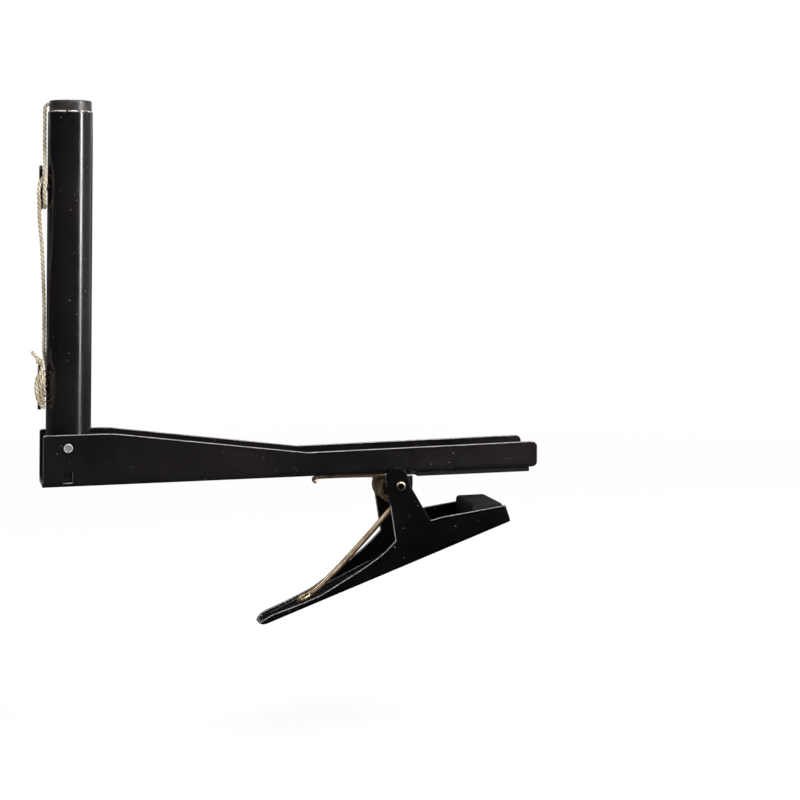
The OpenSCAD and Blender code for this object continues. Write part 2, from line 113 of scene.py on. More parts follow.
def add_camera():
    data = bpy.data.cameras.new("camera")
    data.sensor_width = SENSOR
    data.lens = FOCAL_PX / IMAGE * SENSOR
    data.shift_y = (AXIS_PX - IMAGE / 2) / IMAGE
    data.clip_start = 0.01
    obj = link(bpy.data.objects.new("camera", data))
    obj.location = CAMERA_AT
    angles = (90 + CAMERA_PITCH, -CAMERA_ROLL, -CAMERA_YAW)
    obj.rotation_euler = [math.radians(a) for a in angles]
    bpy.context.scene.camera = obj


add_camera()

# ---- the cord's and the spring's lines, in millimetres, as the CAD model has them ----


def node_box(name):
    """Lowest and highest corner of a node, in millimetres."""
    return [Vector(corner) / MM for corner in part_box(name)]


TUBE_LOW, TUBE_HIGH = node_box("post_tube")
POST_X = (TUBE_LOW.x + TUBE_HIGH.x) / 2
POST_R = (TUBE_HIGH.x - TUBE_LOW.x) / 2
POST_TOP = TUBE_HIGH.z
UPPER_LOW, UPPER_HIGH = node_box("upper_cord_cleat")
LOWER_LOW, LOWER_HIGH = node_box("lower_cord_cleat")
UPPER_Z = (UPPER_LOW.z + UPPER_HIGH.z) / 2
LOWER_Z = (LOWER_LOW.z + LOWER_HIGH.z) / 2
CORD_D = 1.5
CORD_GAP = 0.15                 # between the cord and the tube
CORD_X = (POST_X - POST_R + UPPER_HIGH.x) / 2       # line of the cord behind the cleats' bars
BORE_Z = POST_TOP + 2.5                             # the cord's hole through the cap
LOOP_POINTS = 24


def signed_power(value, exponent):
    return math.copysign(abs(value) ** exponent, value)


def winding(loops, z, side, out, wide, high, low, corner):
    """Centre line of the cord round a cleat's stem, at height z. out is its offset along X beside
    the stem, wide its half width and high its half height, each with what a loop adds. It goes low
    times as far down as up, starts on the given side, and is squarer for a smaller corner."""
    line = []
    for i in range(int(loops * LOOP_POINTS) + 1):
        k = i / LOOP_POINTS
        c, s = math.cos(math.tau * k), math.sin(math.tau * k)
        line.append(Vector((
            CORD_X + c * c * (out[0] + out[1] * k),
            side * (wide[0] + wide[1] * k) * signed_power(c, corner),
            z - (low if s > 0 else 1) * (high[0] + high[1] * k) * signed_power(s, 0.8))))
    return line


def by_cleat(offsets, z):
    """Points given from the cord's line behind a cleat at height z."""
    return [Vector((CORD_X + x, y, z + h)) for x, y, h in offsets]


def on_tube(places, z):
    """Points on the tube, each given by its angle from the outer side and its height above z."""
    r = POST_R + CORD_D / 2 + CORD_GAP
    return [Vector((POST_X - r * math.cos(math.radians(a)), r * math.sin(math.radians(a)), z + h))
            for a, h in places]


def lead(near, far):
    """A point one cord's diameter past near, on the line from far."""
    return near + (near - far).normalized() * CORD_D


upper_winding = winding(1, UPPER_Z, -1, (-0.35, -2.1), (4.9, -0.9), (2.5, 2.6), 2.45, 0.5)
lower_winding = winding(2.5, LOWER_Z, 1, (0.5, -1.45), (3.1, 1.6), (2.4, 1.95), 1.1, 0.3)
CAP_BEND_R = 1.6                # of the cord's bend where it leaves the cap
CAP_BEND_X = POST_X - POST_R + 0.5
CAP_BEND_ANGLES = (105, 123.75, 142.5, 161.25, 180)
cap_bend = [Vector((CAP_BEND_X + CAP_BEND_R * math.cos(math.radians(a)), 0,
                    BORE_Z - CAP_BEND_R + CAP_BEND_R * math.sin(math.radians(a))))
            for a in CAP_BEND_ANGLES]
top_run = [Vector((POST_X, 0, BORE_Z)), Vector((CAP_BEND_X + 0.7, 0, BORE_Z)), *cap_bend, *by_cleat(
    [(-0.2, 0, 18), (-0.2, -0.5, 14.5), (-0.25, -1.6, 11.5), (-0.3, -3.2, 8.7),
     (-0.35, -4.4, 6.2), (-0.35, -4.85, 4)], UPPER_Z)]
middle_run = [
    *by_cleat([(-2.4, -4, -6.2), (-2.3, -3.9, -11), (-1.9, -3.6, -15.8), (-1.35, -3.2, -20.7),
               (-0.9, -2.7, -28.2)], UPPER_Z),
    *by_cleat([(-0.5, -2.1, 42.5), (-0.15, -1.2, 33), (0.05, -0.4, 25)], LOWER_Z),
    *on_tube([(0, 20), (4, 16.5), (16, 12.5), (27, 9.5), (32, 6.5), (31.5, 3.2)], LOWER_Z)]
KNOT_AT = by_cleat([(-1.7, -2.6, 10.4)], LOWER_Z)[0]
end_run = [
    *by_cleat([(-3, -7.1, 3.4), (-2.3, -6.8, 5.2), (-1.3, -6, 7), (-0.9, -4.9, 8.6),
               (-1.1, -3.6, 9.7)], LOWER_Z),
    KNOT_AT, *by_cleat([(-2.6, -2.2, 11.6), (-3.8, -2, 13.1)], LOWER_Z)]
cord_line = [
    *top_run, lead(upper_winding[0], upper_winding[1]),
    *upper_winding, lead(upper_winding[-1], upper_winding[-2]),
    *middle_run, lead(lower_winding[0], lower_winding[1]),
    *lower_winding, lead(lower_winding[-1], lower_winding[-2]), *end_run]

PIN_LOW, PIN_HIGH = node_box("pivot_pin")
PIVOT = (PIN_LOW + PIN_HIGH) / 2
WIRE_D = 1.6
COIL_R = 5.6
COIL_X = PIVOT.x - 0.9
COIL_TURNS = 2
COIL_LEAVE = 100                # degrees past the top where a coil ends
COIL_STEP = 9                   # degrees between its points
COIL_OUT = 8.1                  # half the distance between the coils' outer turns
LEG_Z = 1.1                     # height of the legs under the arm
LEVER_TILT = math.radians(19.1)
FLOOR_DROP = 32                 # from the pivot to the underside of the lever's floor
LEG_ROUTE = [(-18, 7.6, 0), (-26, 6.4, 0), (-36, 5.6, 0), (-42.6, 5.6, 0.1), (-44.2, 6.2, 0.3),
             (-44.9, 7.8, 0.6), (-45, 9.4, 0.8), (-45, 10.9, 0.9)]
HAIRPIN_ROUTE = [(2.1, 25.4, 1.05), (-0.4, 23.4, 1.05), (-5.9, 20.7, 1.05), (-13.3, 16.7, 1.05),
                 (-21.2, 12.7, 1.05), (-29.2, 8.8, 1.05), (-37.4, 5.1, 1.05), (-44.2, 2.3, 1.05),
                 (-47.8, 1.5, 1.15), (-49.5, 1.2, 1.8), (-51, 1.1, 2.1), (-52.2, 1, 1.6),
                 (-52.8, 1, 0.6)]


def on_lever(along, height, y):
    """A point given along the lever from the pivot, and in height over its floor's underside."""
    h = height - FLOOR_DROP
    return Vector((PIVOT.x + along * math.cos(LEVER_TILT) - h * math.sin(LEVER_TILT), y,
                   PIVOT.z + along * math.sin(LEVER_TILT) + h * math.cos(LEVER_TILT)))


def spring_line():
    """From one leg's tip round its coil to the hairpin's end, and the same way back, mirrored."""
    sweep = 360 * COIL_TURNS + COIL_LEAVE
    narrow = HAIRPIN_ROUTE[0][2]
    half = [Vector((x, -y, LEG_Z - drop)) for x, y, drop in reversed(LEG_ROUTE)]
    for a in [*range(0, sweep - COIL_STEP // 2, COIL_STEP), sweep]:
        turn = math.radians(a)
        half.append(Vector((COIL_X + COIL_R * math.sin(turn),
                            -COIL_OUT + (COIL_OUT - narrow) * a / sweep,
                            LEG_Z - COIL_R + COIL_R * math.cos(turn))))
    half += [on_lever(along, height, -y) for along, height, y in HAIRPIN_ROUTE]
    return half + [Vector((p.x, -p.y, p.z)) for p in reversed(half)]


# ---- tubes along a line ----

END_STEPS = (26, 52, 78)        # degrees round a tube's rounded end


def smooth(points, step):
    """A centripetal Catmull-Rom curve through the points, with a point about every step."""
    ends = [2 * points[0] - points[1], *points, 2 * points[-1] - points[-2]]
    line = []
    for p0, p1, p2, p3 in zip(ends, ends[1:], ends[2:], ends[3:]):
        t1 = math.sqrt((p1 - p0).length)
        t2 = t1 + math.sqrt((p2 - p1).length)
        t3 = t2 + math.sqrt((p3 - p2).length)
        count = max(1, round((p2 - p1).length / step))
        for i in range(count):
            t = t1 + (t2 - t1) * i / count
            a1 = p0.lerp(p1, t / t1)
            a2 = p1.lerp(p2, (t - t1) / (t2 - t1))
            a3 = p2.lerp(p3, (t - t2) / (t3 - t2))
            b1 = a1.lerp(a2, t / t2)
            b2 = a2.lerp(a3, (t - t1) / (t3 - t1))
            line.append(b1.lerp(b2, (t - t1) / (t2 - t1)))
    return [*line, points[-1]]


def lengths_along(line):
    total = [0.0]
    for a, b in zip(line, line[1:]):
        total.append(total[-1] + (b - a).length)
    return total


def carried_normals(line):
    """For each point, the line's direction and a normal that is carried along without twist."""
    ahead = [(b - a).normalized() for a, b in zip(line, line[1:])]
    headings = [ahead[0], *[(a + b).normalized() for a, b in zip(ahead, ahead[1:])], ahead[-1]]
    normal = headings[0].orthogonal().normalized()
    out = []
    for heading in headings:
        normal = (normal - heading * normal.dot(heading)).normalized()
        out.append((heading, normal))
    return out


def tube(name, line, radii, end_r, lay=0.0):
    """A closed tube along a line in millimetres. radii are its radii at equal steps round it, end_r
    rounds both ends, and lay is how far a left-hand turn of that outline takes (0 for none)."""
    along = lengths_along(line)
    frames = carried_normals(line)
    rings = [(p, d, n, s, 1.0) for p, (d, n), s in zip(line, frames, along)]
    first, last = rings[0], rings[-1]
    for turn in map(math.radians, END_STEPS):
        reach, share = end_r * math.sin(turn), math.cos(turn)
        rings.insert(0, (first[0] - first[1] * reach, *first[1:4], share))
        rings.append((last[0] + last[1] * reach, *last[1:4], share))
    sides = len(radii)
    low, high = min(radii), max(radii)
    verts, straight, crest = [], [], []
    for p, d, n, s, share in rings:
        across = d.cross(n)
        for j, r in enumerate(radii):
            angle = math.tau * (j / sides - (s / lay if lay else 0))
            outward = math.cos(angle) * n + math.sin(angle) * across
            verts.append((p + share * r * outward) * MM)
            straight.append(Vector((r * math.cos(angle), r * math.sin(angle), s)) * MM)
            crest.append((r - low) / (high - low) if high > low else 1.0)
    faces = [(i * sides + j, i * sides + (j + 1) % sides, (i + 1) * sides + (j + 1) % sides,
              (i + 1) * sides + j) for i in range(len(rings) - 1) for j in range(sides)]
    faces.append(tuple(reversed(range(sides))))
    faces.append(tuple(range(len(verts) - sides, len(verts))))
    mesh = bpy.data.meshes.new(name)
    mesh.from_pydata(verts, [], faces)
    mesh.attributes.new("crest", "FLOAT", "POINT").data.foreach_set("value", crest)
    mesh.attributes.new("straight", "FLOAT_VECTOR", "POINT").data.foreach_set(
        "vector", [c for v in straight for c in v])
    mesh.shade_smooth()
    return link(bpy.data.objects.new(name, mesh))


def joined(name, pieces):
    """One object out of several meshes."""
    work = bmesh.new()
    for piece in pieces:
        work.from_mesh(piece.data)
        bpy.data.objects.remove(piece)
    mesh = bpy.data.meshes.new(name)
    work.to_mesh(mesh)
    work.free()
    mesh.shade_smooth()
    return link(bpy.data.objects.new(name, mesh))


STRANDS = 3
CORD_SIDES = 30
LAY = 5.5                       # a strand goes once round the cord in this length
CORD_STEP = 0.22
CUT_R = 0.3                     # rounding of the cord's cut ends
KNOT_CORD_R = 0.56              # the cord is drawn thinner in the knot
KNOT_LAY = 4.2
KNOT_POINTS = 60
FIBRES = 26
FIBRE_R = 0.075
FIBRE_POINTS = 6


def strand_outline(cord_r):
    """Radii round a cord of three strands that are pressed together."""
    strand_r, centre_r = 0.55 * cord_r, 0.45 * cord_r
    radii = []
    for j in range(CORD_SIDES):
        a = math.tau * ((j * STRANDS / CORD_SIDES + 0.5) % 1 - 0.5) / STRANDS
        reach = math.sqrt(strand_r ** 2 - (centre_r * math.sin(a)) ** 2)
        radii.append(centre_r * math.cos(a) + reach)
    return radii


def add_knot():
    """A turn and a half of the cord about itself, drawn tight."""
    axis = (end_run[-2] - end_run[-4]).normalized()
    side = axis.orthogonal().normalized()
    across = axis.cross(side)
    turns, pitch, r = 1.6, 0.95, 0.86
    line = []
    for i in range(KNOT_POINTS + 1):
        from_middle = i / KNOT_POINTS - 0.5
        k = turns * from_middle
        swell = r - 0.28 * (2 * abs(from_middle)) ** 4
        a = math.tau * k
        outward = math.cos(a) * side + math.sin(a) * across
        line.append(KNOT_AT + axis * pitch * k + swell * outward)
    return tube("cord_knot_turns", line, strand_outline(KNOT_CORD_R), CUT_R, KNOT_LAY)


def add_frayed_end(line):
    """Loose fibres of the three strands past the cord's cut end."""
    draw = random.Random(7)
    heading = (line[-1] - line[-6]).normalized()
    side = heading.orthogonal().normalized()
    across = heading.cross(side)
    fibres = []
    for _ in range(FIBRES):
        a, r = draw.uniform(0, math.tau), 0.5 * math.sqrt(draw.random())
        outward = math.cos(a) * side + math.sin(a) * across
        bend = Vector([draw.uniform(-0.25, 0.25) for _ in range(3)])
        long = draw.uniform(1.1, 2.3)
        fibre = []
        for k in range(FIBRE_POINTS + 1):
            t = k / FIBRE_POINTS
            fibre.append(line[-1] - heading * 0.5 + outward * r
                         + heading * long * t + (outward * r * 0.9 + bend) * t * t)
        fibres.append(tube("fibre", fibre, [FIBRE_R] * 6, 0.8 * FIBRE_R))
    return joined("cord_frayed_end", fibres)


cord_path = smooth(cord_line, CORD_STEP)
cord = tube("net_cord", cord_path, strand_outline(CORD_D / 2), CUT_R, LAY)
knot = add_knot()
frayed_end = add_frayed_end(cord_path)
CORD_NODES = ("cord_top_run", "upper_cord_winding", "cord_middle_run", "lower_cord_winding",
              "cord_end_run")
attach(cord, "arm")
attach(knot, "arm")
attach(frayed_end, "arm")
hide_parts(*CORD_NODES)
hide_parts("cord_knot")

WIRE_STEP = 0.4
WIRE_SIDES = 16
spring = tube("spring", smooth(spring_line(), WIRE_STEP), [WIRE_D / 2] * WIRE_SIDES,
              WIRE_D / 2 * 0.8)
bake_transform(spring)
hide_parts("torsion_spring")

# ---- materials ----


def new_node(tree, kind, **settings):
    made = tree.nodes.new(kind)
    for key, value in settings.items():
        setattr(made, key, value)
    return made


class Shader:
    """A node material with one Principled shader, and short calls for its patterns."""

    def __init__(self, name, color, roughness, metallic=0.0):
        self.material = bpy.data.materials.new(name)
        self.material.use_nodes = True
        self.tree = self.material.node_tree
        self.bsdf = self.tree.nodes["Principled BSDF"]
        self.set("Base Color", (*color, 1))
        self.set("Roughness", roughness)
        self.set("Metallic", metallic)
        self.coords = self.node("ShaderNodeTexCoord").outputs["Object"]

    def node(self, kind, **settings):
        return new_node(self.tree, kind, **settings)

    def link(self, a, b):
        self.tree.links.new(a, b)

    def feed(self, socket, value):
        """Give a socket a link, a number, a vector or a colour."""
        if isinstance(value, bpy.types.NodeSocket):
            self.link(value, socket)
        elif socket.type == "RGBA":
            socket.default_value = (*value, 1)
        else:
            socket.default_value = value

    def set(self, socket, value):
        self.bsdf.inputs[socket].default_value = value

    def drive(self, socket, source):
        self.link(source, self.bsdf.inputs[socket])

    def stretched(self, coords, scale):
        """The coordinates, scaled so that patterns run along an axis."""
        mapping = self.node("ShaderNodeMapping")
        mapping.inputs["Scale"].default_value = scale
        self.link(coords, mapping.inputs["Vector"])
        return mapping.outputs["Vector"]

    def noise(self, size, detail=3.0, rough=0.5, coords=None):
        """Noise whose lumps are about size metres across."""
        made = self.node("ShaderNodeTexNoise")
        made.inputs["Scale"].default_value = 1 / size
        made.inputs["Detail"].default_value = detail
        made.inputs["Roughness"].default_value = rough
        self.link(coords or self.coords, made.inputs["Vector"])
        return made.outputs["Fac"]

    def cells(self, size):
        """Distance from points that lie about size metres apart."""
        made = self.node("ShaderNodeTexVoronoi")
        made.inputs["Scale"].default_value = 1 / size
        self.link(self.coords, made.inputs["Vector"])
        return made.outputs["Distance"]

    def remap(self, source, low, high, to_low=0.0, to_high=1.0):
        made = self.node("ShaderNodeMapRange")
        made.inputs["From Min"].default_value = low
        made.inputs["From Max"].default_value = high
        made.inputs["To Min"].default_value = to_low
        made.inputs["To Max"].default_value = to_high
        self.link(source, made.inputs["Value"])
        return made.outputs["Result"]

    def math(self, operation, *values):
        made = self.node("ShaderNodeMath", operation=operation)
        for socket, value in zip(made.inputs, values):
            self.feed(socket, value)
        return made.outputs[0]

    def mix(self, factor, a, b):
        """Colour a where factor is 0, and b where it is 1."""
        made = self.node("ShaderNodeMix", data_type="RGBA")
        self.link(factor, made.inputs["Factor"])
        self.feed(made.inputs[6], a)
        self.feed(made.inputs[7], b)
        return made.outputs[2]

    def dot(self, a, b):
        made = self.node("ShaderNodeVectorMath", operation="DOT_PRODUCT")
        self.feed(made.inputs[0], a)
        self.feed(made.inputs[1], b)
        return made.outputs["Value"]

    def bump(self, height, depth, rounded=None):
        """Bump of depth metres at full height, on the rounded normal where one is given."""
        made = self.node("ShaderNodeBump")
        if rounded:
            self.link(rounded, made.inputs["Normal"])
        made.inputs["Distance"].default_value = depth
        self.link(height, made.inputs["Height"])
        self.drive("Normal", made.outputs["Normal"])

    def axis(self, letter):
        made = self.node("ShaderNodeSeparateXYZ")
        self.link(self.coords, made.inputs[0])
        return made.outputs[letter]

    def attribute(self, name, output="Fac"):
        return self.node("ShaderNodeAttribute", attribute_name=name).outputs[output]


PAINT = (0.006, 0.005, 0.006)
DUST = (0.22, 0.2, 0.18)
# pale edges: worn paint, and a painted highlight along edges that face one way
EDGE_WEAR_AND_HIGHLIGHT = (0.8, 0.77, 0.74)
CHIPPED = (0.62, 0.60, 0.57)
SOFT_EDGE = 0.4 * MM            # radius that the paint rounds an edge to
UPWARD = (-0.2, -0.3, 0.8)      # the ways that a pale edge faces: worn paint with a painted highlight
OUTWARD = (-0.9, -0.2, 0.4)
ANY_HEIGHT = 1                  # metres, above the whole clamp
HANDLE_TOP = -12 * MM           # the lever's edges turn pale below this height: worn paint with a painted highlight


def black_paint(name, deep=(0.0038, 0.0034, 0.0042), pale=(0.0085, 0.0068, 0.0072), shine=0.5,
                facing=UPWARD, pale_edges_below=ANY_HEIGHT):
    """Black gloss enamel: faint orange peel, smears, dust, and pale edges that face a given way and
    lie below a given height, which are partly worn paint and partly a painted highlight along the
    edges."""
    m = Shader(name, PAINT, 0.2)
    m.set("Specular IOR Level", shine)
    specks = m.remap(m.cells(2.4 * MM), 0.02, 0.1, 1, 0)
    patches = m.remap(m.noise(9 * MM), 0.5, 0.6)
    dust = m.math("MULTIPLY", specks, patches)
    tone = m.mix(m.remap(m.noise(30 * MM, 4), 0.35, 0.7), deep, pale)
    rounded = m.node("ShaderNodeBevel", samples=6)
    rounded.inputs["Radius"].default_value = SOFT_EDGE
    soft = rounded.outputs["Normal"]
    flat = m.node("ShaderNodeNewGeometry").outputs["Normal"]
    edge = m.remap(m.dot(soft, flat), 0.985, 0.87, 0, 1)
    # only edges facing the given way turn pale: a painted highlight along them, on the worn paint
    side = m.remap(m.dot(soft, facing), 0.3, 0.5)
    low = m.remap(m.axis("Z"), pale_edges_below, pale_edges_below + 2 * MM, 1, 0)
    rubbing_and_highlight = m.math("MULTIPLY", m.math("MULTIPLY", edge, side), low)
    wear_and_highlight = m.math("MULTIPLY", rubbing_and_highlight, m.remap(m.noise(2.5 * MM, 4, 0.6), 0.3, 0.6, 0.4, 1))
    m.drive("Base Color", m.mix(wear_and_highlight, m.mix(dust, tone, DUST), EDGE_WEAR_AND_HIGHLIGHT))
    smears = m.remap(m.noise(14 * MM, 5, 0.6), 0.3, 0.75, 0.13, 0.27)
    m.drive("Roughness", m.math("ADD", smears, m.math("MULTIPLY", dust, 0.4)))
    m.bump(m.noise(1.6 * MM, 2), 0.006 * MM, soft)
    return m


def post_paint():
    """The enamel of the post, chipped along the tube's top edge."""
    m = black_paint("post_paint")
    height = m.axis("Z")
    chips = m.remap(m.noise(1.1 * MM, 4, 0.7), 0.46, 0.5)
    rim = m.remap(height, (POST_TOP - 0.75) * MM, (POST_TOP - 0.35) * MM)
    chipped = m.math("MULTIPLY", chips, rim)
    painted = m.bsdf.inputs["Base Color"].links[0].from_socket
    m.drive("Base Color", m.mix(chipped, painted, CHIPPED))
    return m.material


def rubber():
    """Matt black rubber."""
    m = Shader("rubber", (0.01, 0.01, 0.01), 0.75)
    m.set("Specular IOR Level", 0.2)
    grain = m.noise(0.5 * MM, 4, 0.7)
    m.drive("Base Color", m.mix(m.noise(6 * MM), (0.004, 0.004, 0.004), (0.009, 0.009, 0.009)))
    m.drive("Roughness", m.remap(grain, 0.3, 0.7, 0.62, 0.85))
    m.bump(grain, 0.03 * MM)
    return m.material


def cap_metal():
    """Dark cap, a little lighter and browner than the tube, with patches of wear."""
    m = Shader("cap_metal", (0.05, 0.04, 0.037), 0.32)
    rubbing_and_highlight = m.remap(m.noise(4 * MM, 4), 0.5, 0.75)
    m.drive("Base Color", m.mix(rubbing_and_highlight, (0.02, 0.016, 0.016), (0.075, 0.062, 0.06)))
    m.drive("Roughness", m.remap(m.noise(1.5 * MM, 4), 0.3, 0.7, 0.25, 0.45))
    m.bump(m.noise(0.7 * MM), 0.01 * MM)
    return m.material


def bare_steel():
    m = Shader("steel", (0.42, 0.42, 0.44), 0.35, 1.0)
    grain = m.noise(0.4 * MM, 4, 0.6)
    m.drive("Base Color", m.mix(m.remap(grain, 0.35, 0.7), (0.2, 0.2, 0.2), (0.42, 0.42, 0.44)))
    m.drive("Roughness", m.remap(grain, 0.3, 0.7, 0.27, 0.49))
    m.bump(grain, 0.008 * MM)
    return m.material


def wire_metal():
    """Zinc-plated spring wire, browned, with drawing lines along it."""
    m = Shader("spring_wire", (0.3, 0.24, 0.16), 0.15, 0.8)
    straight = m.attribute("straight", "Vector")
    lines = m.noise(0.3 * MM, 3, 0.6, m.stretched(straight, (1, 1, 0.02)))
    stains = m.noise(3.5 * MM, 4, 0.6)
    tone = m.mix(m.remap(stains, 0.4, 0.62), (0.17, 0.10, 0.06), (0.34, 0.26, 0.16))
    m.drive("Base Color", m.mix(m.remap(lines, 0.52, 0.72), tone, (0.66, 0.56, 0.4)))
    m.drive("Roughness", m.remap(stains, 0.35, 0.7, 0.1, 0.2))
    m.bump(lines, 0.004 * MM)
    return m.material


def ring_highlight_metal(name, node, crest, dull, bright, metallic=1.0):
    """Metal of a round head along Y, with a painted highlight: lighter along a ring of crest
    millimetres' radius.
    """
    m = Shader(name, dull, 0.3, metallic)
    low, high = node_box(node)
    x = m.math("SUBTRACT", m.axis("X"), (low.x + high.x) / 2 * MM)
    z = m.math("SUBTRACT", m.axis("Z"), (low.z + high.z) / 2 * MM)
    radius = m.math("SQRT", m.math("ADD", m.math("MULTIPLY", x, x), m.math("MULTIPLY", z, z)))
    off_crest = m.math("ABSOLUTE", m.math("SUBTRACT", radius, crest * MM))
    # the ring is a painted highlight on the head's rim, broken by grain
    ring = m.remap(off_crest, 0.1 * MM, 0.5 * MM, 1, 0)
    grain = m.noise(0.5 * MM, 4, 0.6)
    rubbing_and_highlight = m.math("MULTIPLY", ring, m.remap(grain, 0.42, 0.56))
    m.drive("Base Color", m.mix(rubbing_and_highlight, dull, bright))
    m.drive("Roughness", m.remap(grain, 0.3, 0.7, 0.22, 0.42))
    m.bump(grain, 0.02 * MM)
    return m.material


def twine():
    """Twisted cream twine, with painted shade: darker brown in the grooves between its strands."""
    m = Shader("twine", (0.7, 0.6, 0.42), 0.8)
    crest = m.attribute("crest")
    straight = m.attribute("straight", "Vector")
    fibres = m.noise(0.25 * MM, 5, 0.7, m.stretched(straight, (1, 1, 0.12)))
    dirt = m.noise(5 * MM, 3)
    light = m.mix(m.remap(dirt, 0.38, 0.62), (0.54, 0.48, 0.36), (0.32, 0.26, 0.175))
    # painted shade in the grooves: dark brown where the crest is low
    groove_shade = m.math("ADD", crest, m.math("MULTIPLY", m.math("SUBTRACT", fibres, 0.5), 0.8))
    m.drive("Base Color", m.mix(m.remap(groove_shade, 0.1, 0.85), (0.10, 0.065, 0.035), light))
    m.drive("Roughness", m.remap(fibres, 0.3, 0.7, 0.7, 0.95))
    m.bump(fibres, 0.05 * MM)
    return m.material


paint = black_paint("paint").material
lever_paint = black_paint("lever_paint", (0.001, 0.001, 0.001), (0.003, 0.0028, 0.0028), 0.3,
                          facing=OUTWARD, pale_edges_below=HANDLE_TOP).material
rubber_black = rubber()
cap_finish = cap_metal()
aluminium = ring_highlight_metal("aluminium", "post_rivet", 1.6, (0.26, 0.26, 0.27), (0.9, 0.9, 0.91), 0.55)
pin_finish = ring_highlight_metal("pin_metal", "pivot_pin", 1.65, (0.07, 0.045, 0.03), (0.85, 0.72, 0.55))
steel = bare_steel()
spring_wire = wire_metal()
cleat_black = black_paint("cleat_black").material
twine_cream = twine()

# ---- pieces cut from the frame's own shapes ----

SAME_POINT = 1e-6               # metres
FLAT_WITHIN = math.radians(0.4)
SHARP = math.radians(28)        # edges that turn more than this are rounded
KEPT_SHARP = math.radians(35)   # and any that still turn more than this are shaded sharp


def apply_modifiers(obj):
    bpy.context.view_layer.update()
    seen = obj.evaluated_get(bpy.context.evaluated_depsgraph_get())
    mesh = bpy.data.meshes.new_from_object(seen)
    obj.modifiers.clear()
    obj.data = mesh


def dressed(node, name, material, slot, edge):
    """The node's own shape with its edges rounded by edge metres."""
    obj = link(bpy.data.objects.new(name, nodes[node].data.copy()))
    work = bmesh.new()
    work.from_mesh(obj.data)
    bmesh.ops.remove_doubles(work, verts=work.verts, dist=SAME_POINT)
    bmesh.ops.dissolve_limit(work, angle_limit=FLAT_WITHIN, verts=work.verts, edges=work.edges)
    obj.data.clear_geometry()
    work.to_mesh(obj.data)
    work.free()
    bevel = obj.modifiers.new("round", "BEVEL")
    bevel.width = edge
    bevel.segments = 3
    bevel.limit_method = "ANGLE"
    bevel.angle_limit = SHARP
    bevel.miter_outer = "MITER_ARC"
    apply_modifiers(obj)
    obj.data.shade_smooth()
    obj.data.set_sharp_from_angle(angle=KEPT_SHARP)
    normals = obj.modifiers.new("normals", "WEIGHTED_NORMAL")
    normals.keep_sharp = True
    apply_modifiers(obj)
    obj.data.materials.clear()
    obj.data.materials.append(material)
    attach(obj, nodes[node]["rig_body"])
    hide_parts(node)


def finish_node(node, material):
    slots = nodes[node].data.materials
    slots.clear()
    slots.append(material)


for node, *how, edge in (
        ("channel_arm", "arm", paint, "black_paint", 0.3),
        ("hinge_bracket", "bracket", paint, "black_paint", 0.25),
        ("clamp_lever", "lever", lever_paint, "black_paint", 0.3),
        ("arm_pad", "table_pad", rubber_black, "black_rubber", 0.4),
        ("jaw_pad", "jaw_rubber", rubber_black, "black_rubber", 0.4),
        ("upper_cord_cleat", "upper_cleat", cleat_black, "black_plastic", 0.3),
        ("lower_cord_cleat", "lower_cleat", cleat_black, "black_plastic", 0.3)):
    dressed(node, *how, edge * MM)
for node, material in (
        ("post_tube", post_paint()), ("post_cap", cap_finish), ("post_rivet", aluminium),
        ("pivot_pin", pin_finish), ("upper_cleat_rivet", steel), ("lower_cleat_rivet", steel)):
    finish_node(node, material)
for piece in (cord, knot, frayed_end):
    piece.data.materials.append(twine_cream)
spring.data.materials.append(spring_wire)

# ---- stage ----


def matt_material(name, color):
    made = bpy.data.materials.new(name)
    made.use_nodes = True
    bsdf = made.node_tree.nodes["Principled BSDF"]
    bsdf.inputs["Base Color"].default_value = (*color, 1)
    bsdf.inputs["Roughness"].default_value = 0.9
    return made


def rectangle(name, width, height, z=0.0):
    mesh = bpy.data.meshes.new(name)
    w, h = width / 2, height / 2
    mesh.from_pydata([(-w, -h, z), (w, -h, z), (w, h, z), (-w, h, z)], [], [(0, 1, 2, 3)])
    return mesh


def aim(obj, at, facing, front):
    """Place the object at a point, with its front axis towards another."""
    obj.location = at
    obj.rotation_euler = (Vector(facing) - Vector(at)).to_track_quat(front, "Y").to_euler()


def seen_directly(tree):
    """1 where the camera, a reflection or a clear piece sees the surface, and 0 for other light."""
    path = new_node(tree, "ShaderNodeLightPath")
    seen = path.outputs["Is Camera Ray"]
    for other in ("Is Glossy Ray", "Is Transmission Ray"):
        either = new_node(tree, "ShaderNodeMath", operation="MAXIMUM")
        tree.links.new(seen, either.inputs[0])
        tree.links.new(path.outputs[other], either.inputs[1])
        seen = either.outputs[0]
    return seen


FLOOR_GAP = 60 * MM             # from the lowest part of the clamp to the floor
FLOOR_SIZE = 60                 # metres
WHITE_NEAR = 0.8                # under the clamp, the share of the floor's white that no lamp makes
WHITE_FROM, WHITE_TO = 0.35, 1.1    # distances in metres over which that share grows to the whole


